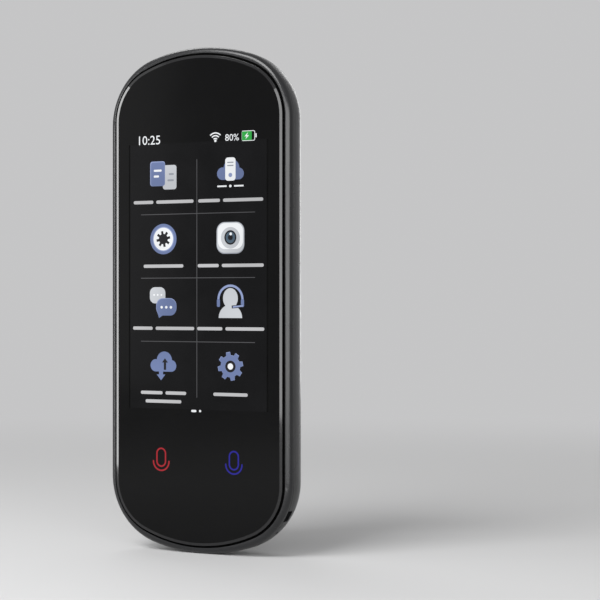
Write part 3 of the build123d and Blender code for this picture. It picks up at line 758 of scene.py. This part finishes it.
def headset_icon(x, z):
    """Head and shoulders with a headset."""
    return [
        (arc_band(x, z + 0.6, 3.5, 0.6, 0, 180), pale_blue),
        (box_shape(x - 3.5, z - 0.3, 0.9, 2.0, 0.35, 4), blue),
        (box_shape(x + 3.5, z - 0.3, 0.9, 2.0, 0.35, 4), blue),
        (oval(x, z + 0.9, 2.15, 2.6), grey),
        (box_shape(x, z - 2.0, 2.2, 2.4), grey),
        (disc(x, z - 4.1, 3.4, 32, 0.0, pi), grey),
        (bar((x + 3.4, z - 1.1), (x + 0.4, z - 1.3), 0.75), dark),
        (bar((x + 3.6, z - 1.0), (x + 0.7, z - 1.3), 0.4), pale_blue),
    ]


def transfer_icon(x, z):
    """A cloud with an arrow up and an arrow down."""
    return cloud(x, z + 0.35, blue) + [
        (bar((x - 0.7, z + 0.4), (x - 0.7, z - 2.6), 1.2), blue),
        ([(x - 2.0, z - 2.4), (x - 0.7, z - 3.9), (x + 0.6, z - 2.4)], blue),
        (bar((x + 0.5, z - 1.2), (x + 0.5, z + 0.8), 0.7), dark),
        ([(x - 0.4, z + 0.7), (x + 1.4, z + 0.7), (x + 0.5, z + 1.8)], dark),
    ]


def gear_icon(x, z):
    """A toothed wheel with a hub."""
    return [
        (tooth_ring(x, z + 0.05, 2.85, 3.7, 8), pale_blue),
        (tooth_ring(x, z, 2.8, 3.6, 8), blue),
        (disc(x, z, 1.5, 32), dark),
        (disc(x, z, 0.8, 24), white),
    ]


def word_bars(x, z, lengths, height=0.85, gap=0.9):
    """A line of plain bars in place of words, centred on x."""
    total = sum(lengths) + gap * (len(lengths) - 1)
    left = x - total / 2
    shapes = []
    for length in lengths:
        outline = box_shape(left + length / 2, z, length, height, height * 0.45, 4)
        shapes.append((outline, label_grey))
        left += length + gap
    return shapes


def digits(text, x, z, size, material, name):
    """Plain numbers, as on a clock."""
    curve = bpy.data.curves.new(name, "FONT")
    curve.body = text
    curve.size = size * MM
    curve.extrude = digit_relief * MM
    curve.resolution_u = 3
    probe = bpy.data.objects.new(name + "_curve", curve)
    bpy.context.scene.collection.objects.link(probe)
    bpy.context.view_layer.update()
    data = bpy.data.meshes.new_from_object(probe)
    bpy.data.objects.remove(probe)
    data.name = name
    for vertex in data.vertices:
        across, up, proud = vertex.co
        vertex.co = (x * MM + across, digit_y * MM - proud, z * MM + up)
    data.materials.clear()
    place_data(name, data, (material,), "display")


def microphone_mark(x, z, material):
    """A capsule in outline over a cup, centred on the touch key."""
    line = 0.4
    capsule_width, capsule_height = 3.0, 5.0
    lift = 0.6
    cup = 2.35
    return [
        (
            box_shape(x, z + lift, capsule_width, capsule_height, capsule_width / 2, 12),
            box_shape(
                x,
                z + lift,
                capsule_width - 2 * line,
                capsule_height - 2 * line,
                capsule_width / 2 - line,
                12,
            ),
            material,
        ),
        (arc_band(x, z - 0.45, cup, line, 175, 190), material),
    ]


panel_shape = box_shape(0, panel_z, panel_width, panel_height)
plate("screen_ground", [(panel_shape, ground)], panel_face, glass_face, "display")
lines = [
    (box_shape(side * border_x, panel_z, border_width, panel_height), border) for side in (-1, 1)
]
lines.append((box_shape(-0.06, 70.65, divider_width, 61.1), divider_grey))
for z in divider_rows:
    lines.append((box_shape(0, z, 33.8, divider_width), divider_grey))
plate("menu_lines", lines, icon_face, glass_face, "display")

menu = (
    ("cards", cards_icon, 0, 0, (6.0, 11.2)),
    ("cloud", cloud_icon, 1, 0, (6.4, 11.6)),
    ("reel", reel_icon, 0, 1, (12.0,)),
    ("photo", camera_icon, 1, 1, (6.2, 12.1)),
    ("bubbles", bubble_icon, 0, 2, (6.0, 11.6)),
    ("headset", headset_icon, 1, 2, (7.4, 11.2)),
    ("transfer", transfer_icon, 0, 3, (6.6, 6.2)),
    ("gear", gear_icon, 1, 3, (10.0,)),
)
for name, draw, column, row, words in menu:
    x, z = column_x[column], row_z[row]
    plate(f"menu_{name}", draw(x, z), icon_face, glass_face, "display")
    plate(f"label_{name}", word_bars(x, label_z[row], words), icon_face, glass_face, "display")
second_line = word_bars(column_x[0], second_label_z, (10.8,))
plate("label_second_line", second_line, icon_face, glass_face, "display")

status_z = 106.6
wifi_x, wifi_z = 5.4, 105.6
battery_x = 15.0
status = [(disc(wifi_x, wifi_z + 0.1, 0.33, 16), white)]
for step in (1, 2, 3):
    status.append((arc_band(wifi_x, wifi_z, 0.7 * step, 0.32, 45, 90, 12), white))
status += [
    (
        box_shape(battery_x, status_z, 3.8, 2.6, 0.4, 4),
        box_shape(battery_x, status_z, 3.5, 2.3, 0.3, 4),
        white,
    ),
    (box_shape(battery_x - 0.45, status_z, 2.8, 2.3, 0.25, 4), green),
    (box_shape(battery_x + 2.2, status_z, 0.3, 1.0), white),
    (
        [
            (battery_x - 0.1, status_z + 0.9),
            (battery_x - 1.1, status_z - 0.15),
            (battery_x - 0.5, status_z - 0.1),
            (battery_x - 0.8, status_z - 0.9),
            (battery_x + 0.2, status_z + 0.15),
            (battery_x - 0.4, status_z + 0.1),
        ],
        white,
    ),
    (box_shape(-0.95, 36.65, 1.5, 0.6, 0.28, 4), white),
    (disc(0.91, 36.68, 0.3, 16), white),
]
plate("status_marks", status, icon_face, glass_face, "display")
digits("10:25", -18.2, 105.5, 3.3, white, "clock_digits")
digits("80%", 8.2, 105.55, 2.45, white, "charge_digits")
key_marks = microphone_mark(key_mark_x[0], key_mark_z, red)
key_marks += microphone_mark(key_mark_x[1], key_mark_z, key_blue)
plate("talk_key_marks", key_marks, icon_face, glass_face, "led")


# ---------------------------------------------------------------- camera details
def lathe(name, profile, centre, material, slot_name, steps=64):
    """A ring or dome about the Y axis through `centre`, from (radius, depth) pairs in mm."""
    mesh = bmesh.new()
    rings = []
    for radius, depth in profile:
        rings.append(
            [
                mesh.verts.new(
                    (
                        (centre[0] + radius * cos(2 * pi * i / steps)) * MM,
                        depth * MM,
                        (centre[1] + radius * sin(2 * pi * i / steps)) * MM,
                    )
                )
                for i in range(steps)
            ]
        )
    for first, second in zip(rings, rings[1:]):
        for i in range(steps):
            j = (i + 1) % steps
            mesh.faces.new((first[i], first[j], second[j], second[i])).smooth = True
    bmesh.ops.recalc_face_normals(mesh, faces=mesh.faces)
    place_piece(name, mesh, (material,), slot_name)


camera_axis = (lens_centre.x / MM, lens_centre.z / MM)
barrel_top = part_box("camera_module")[1].y / MM
window_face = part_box("camera_window")[1].y / MM
ring_radius, ring_wire = 2.5, 0.08
ring_steps = 10
lathe(
    "lens_ring",
    [
        (
            ring_radius + ring_wire * cos(2 * pi * i / ring_steps),
            window_face + ring_wire * (0.5 + sin(2 * pi * i / ring_steps)),
        )
        for i in range(ring_steps + 1)
    ],
    camera_axis,
    metal_material("bright_ring", (0.26, 0.25, 0.36), 0.2),
    "camera_trim",
)
lathe(
    "lens_bowl",
    [
        (2.4, barrel_top + 0.02),
        (2.3, barrel_top + 0.04),
        (1.97, barrel_top + 0.03),
        (1.86, barrel_top - 0.02),
        (1.62, barrel_top - 0.34),
        (1.4, barrel_top - 0.62),
        (1.37, barrel_top - 0.72),
    ],
    camera_axis,
    lens_material("coated_bowl_painted_flare", lens_centre, bowl_edge, (0.13, 0.12, 0.45, 1)),
    "lens_coating",
)

# ---------------------------------------------------------------- studio
backdrop_tone = 0.56
floor_tone = 0.56
floor_radius = 4.0
blend_start, blend_end = 0.16, 0.6
diffuse_world = 0.25


def seen_directly(tree):
    """1 for camera, mirror and see-through rays, and 0 for the rays that light the object."""
    path = add_node(tree, "ShaderNodeLightPath")
    first = add_node(
        tree,
        "ShaderNodeMath",
        {0: path.outputs["Is Camera Ray"], 1: path.outputs["Is Glossy Ray"]},
        operation="MAXIMUM",
    )
    return add_node(
        tree,
        "ShaderNodeMath",
        {0: first.outputs[0], 1: path.outputs["Is Transmission Ray"]},
        operation="MAXIMUM",
    ).outputs[0]


def studio_world():
    """A pale backdrop, and a softer level of it as light."""
    world = bpy.data.worlds.new("studio")
    world.use_nodes = True
    tree = world.node_tree
    tree.nodes.clear()
    tone = mixed(
        tree,
        seen_directly(tree),
        (diffuse_world, diffuse_world, diffuse_world, 1),
        (backdrop_tone, backdrop_tone, backdrop_tone * 1.01, 1),
    )
    light = add_node(tree, "ShaderNodeBackground", {"Color": tone, "Strength": 1.0})
    add_node(tree, "ShaderNodeOutputWorld", {"Surface": light.outputs[0]})
    bpy.context.scene.world = world


def studio_floor():
    """A pale floor that passes into the backdrop's colour away from the object, and keeps its shadow."""
    mesh = bmesh.new()
    bmesh.ops.create_circle(mesh, cap_ends=True, radius=floor_radius, segments=96)
    data = bpy.data.meshes.new("floor")
    mesh.to_mesh(data)
    mesh.free()
    floor = bpy.data.objects.new("floor", data)
    bpy.context.scene.collection.objects.link(floor)
    material, tree, shader = new_material("pale_floor")
    place = object_coordinates(tree)
    shader.inputs["Base Color"].default_value = (floor_tone, floor_tone, floor_tone * 1.005, 1)
    shader.inputs["Roughness"].default_value = 0.9
    shader.inputs["Specular IOR Level"].default_value = 0.0
    reach = add_node(tree, "ShaderNodeVectorMath", {0: place}, operation="LENGTH").outputs["Value"]
    far = ramp(tree, reach, 0, 1, blend_start, blend_end)
    seen = add_node(tree, "ShaderNodeMath", {0: far, 1: seen_directly(tree)}, operation="MULTIPLY")
    glow = add_node(
        tree,
        "ShaderNodeEmission",
        {"Color": (backdrop_tone, backdrop_tone, backdrop_tone * 1.01, 1), "Strength": 1.0},
    )
    both = add_node(
        tree,
        "ShaderNodeMixShader",
        {0: seen.outputs[0], 1: shader.outputs[0], 2: glow.outputs[0]},
    )
    output = next(n for n in tree.nodes if n.type == "OUTPUT_MATERIAL")
    tree.links.new(both.outputs[0], output.inputs["Surface"])
    data.materials.append(material)


def softbox(name, azimuth, elevation, distance, width, height, radiance):
    """An area light round the object's middle; azimuth 0 is in front of the screen, 90 to its right."""
    target = Vector((0, 0, glass_middle * MM))
    a, e = radians(azimuth), radians(elevation)
    towards = Vector((sin(a) * cos(e), -cos(a) * cos(e), sin(e)))
    data = bpy.data.lights.new(name, "AREA")
    data.shape = "RECTANGLE"
    data.size = width
    data.size_y = height
    data.energy = radiance * pi * width * height
    light = bpy.data.objects.new(name, data)
    light.location = target + towards * distance
    light.rotation_mode = "QUATERNION"
    light.rotation_quaternion = towards.to_track_quat("Z", "Y")
    light.visible_camera = False
    bpy.context.scene.collection.objects.link(light)


# name, azimuth, elevation, distance, width, height, radiance
softboxes = (
    ("front_softbox", 22, 2, 0.5, 0.7, 0.36, 4.8),
    ("left_strip", -51.06, 2, 0.2733, 0.0245, 0.23, 9.0),
    ("left_card", -50, 0, 1.0, 0.67, 0.9, 0.5),
    ("rear_card", -140, 4, 0.95, 0.6, 0.8, 0.7),
    ("rear_strip", 188, 4, 0.95, 0.2, 0.8, 2.4),
    ("rear_top_strip", -131, 52, 0.95, 0.45, 0.2, 6.0),
    ("top_softbox", -10, 42, 0.9, 0.53, 0.46, 10.0),
)
studio_world()
studio_floor()
for values in softboxes:
    softbox(*values)

# ---------------------------------------------------------------- camera at the photograph's angle
camera_azimuth = 30.3
camera_distance = 0.4975
focal_length, sensor_width = 116.5, 36.0
glass_point = Vector((0, glass_low.y * MM, glass_middle * MM))
camera_data = bpy.data.cameras.new("camera")
camera_data.lens = focal_length
camera_data.sensor_width = sensor_width
camera_data.shift_x = 0.1718
camera_data.shift_y = 0.0008
camera = bpy.data.objects.new("camera", camera_data)
out = Vector((sin(radians(camera_azimuth)), -cos(radians(camera_azimuth)), 0))
camera.location = glass_point + out * camera_distance
camera.rotation_mode = "QUATERNION"
camera.rotation_quaternion = out.to_track_quat("Z", "Y")
bpy.context.scene.collection.objects.link(camera)
bpy.context.scene.camera = camera
bpy.context.scene.view_settings.view_transform = "Standard"
